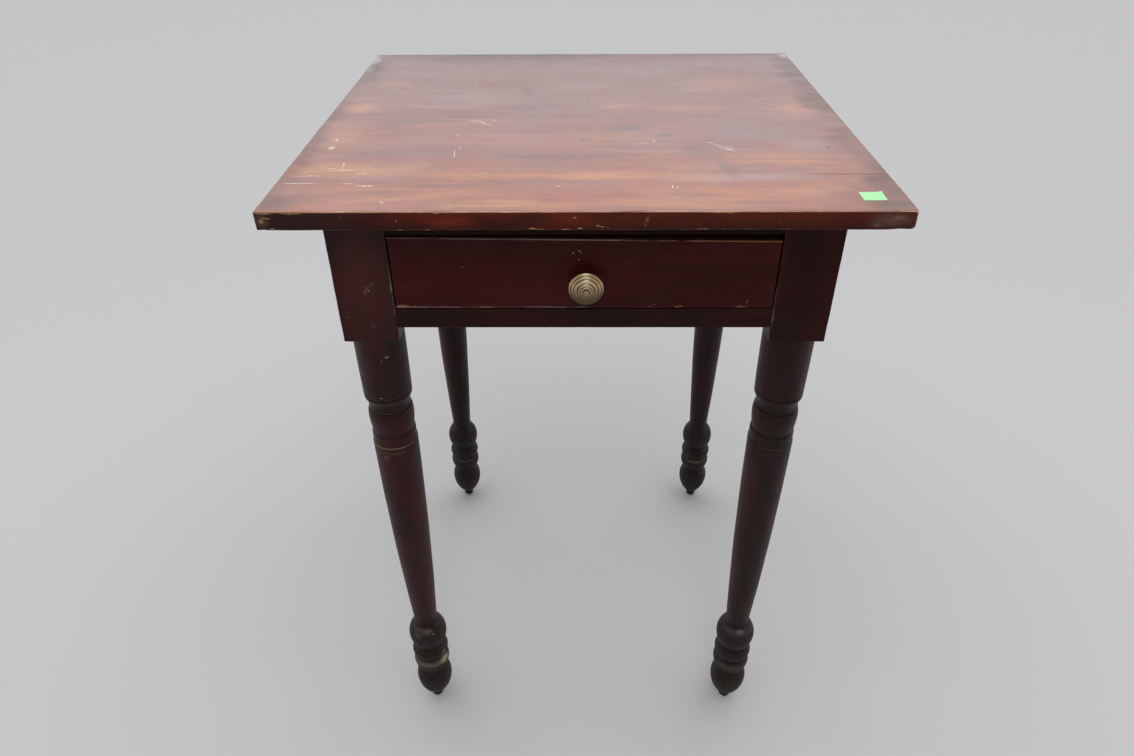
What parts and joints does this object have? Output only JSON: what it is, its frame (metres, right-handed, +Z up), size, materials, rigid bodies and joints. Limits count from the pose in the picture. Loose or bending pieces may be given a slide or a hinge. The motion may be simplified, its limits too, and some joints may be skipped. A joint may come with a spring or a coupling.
{
  "type": "tavern table",
  "caption": "Small square-topped table on turned legs, with a drawer under the top that slides out to the front on wooden runners.",
  "frame": {"origin": "on the floor, under the centre of the top", "axes": "+X to the right as seen from the drawer side, +Y to the back, away from the drawer's knob, +Z up"},
  "size_m": [0.535, 0.507, 0.733],
  "materials": {
    "top_wood": "aged red-brown stain under worn shellac, satin to gloss",
    "frame_wood": "very dark red-brown stain, satin",
    "inner_wood": "unfinished softwood, darkened with age",
    "brass": "aged satin brass",
    "iron": "dark oxidised iron",
    "paper": "plain green paper, for a blank sticker"
  },
  "bodies": {
    "table": {"top_board_front": "top_wood", "top_board_middle": "top_wood", "top_board_back": "top_wood", "leg_front_left": "frame_wood", "leg_front_right": "frame_wood", "leg_back_left": "frame_wood", "leg_back_right": "frame_wood", "apron_left": "frame_wood", "apron_right": "frame_wood", "apron_back": "frame_wood", "rail_upper_front": "frame_wood", "rail_lower_front": "frame_wood", "runner_left": "inner_wood", "runner_right": "inner_wood", "guide_left": "inner_wood", "guide_right": "inner_wood", "kicker_left": "inner_wood", "kicker_right": "inner_wood", "drawer_stops": "inner_wood", "glue_blocks": "inner_wood", "tenon_pegs": "frame_wood", "top_screws": "iron", "guide_nails": "iron"},
    "drawer": {"drawer_front": "frame_wood", "drawer_side_left": "inner_wood", "drawer_side_right": "inner_wood", "drawer_back": "inner_wood", "drawer_bottom": "inner_wood", "bottom_nails": "iron", "knob": "brass", "knob_screw": "iron"}
  },
  "joints": [
    {"name": "drawer_slide", "type": "slide", "parent": "table", "child": "drawer", "axis": [0, -1, 0], "range_m": [0, 0.3]}
  ]
}
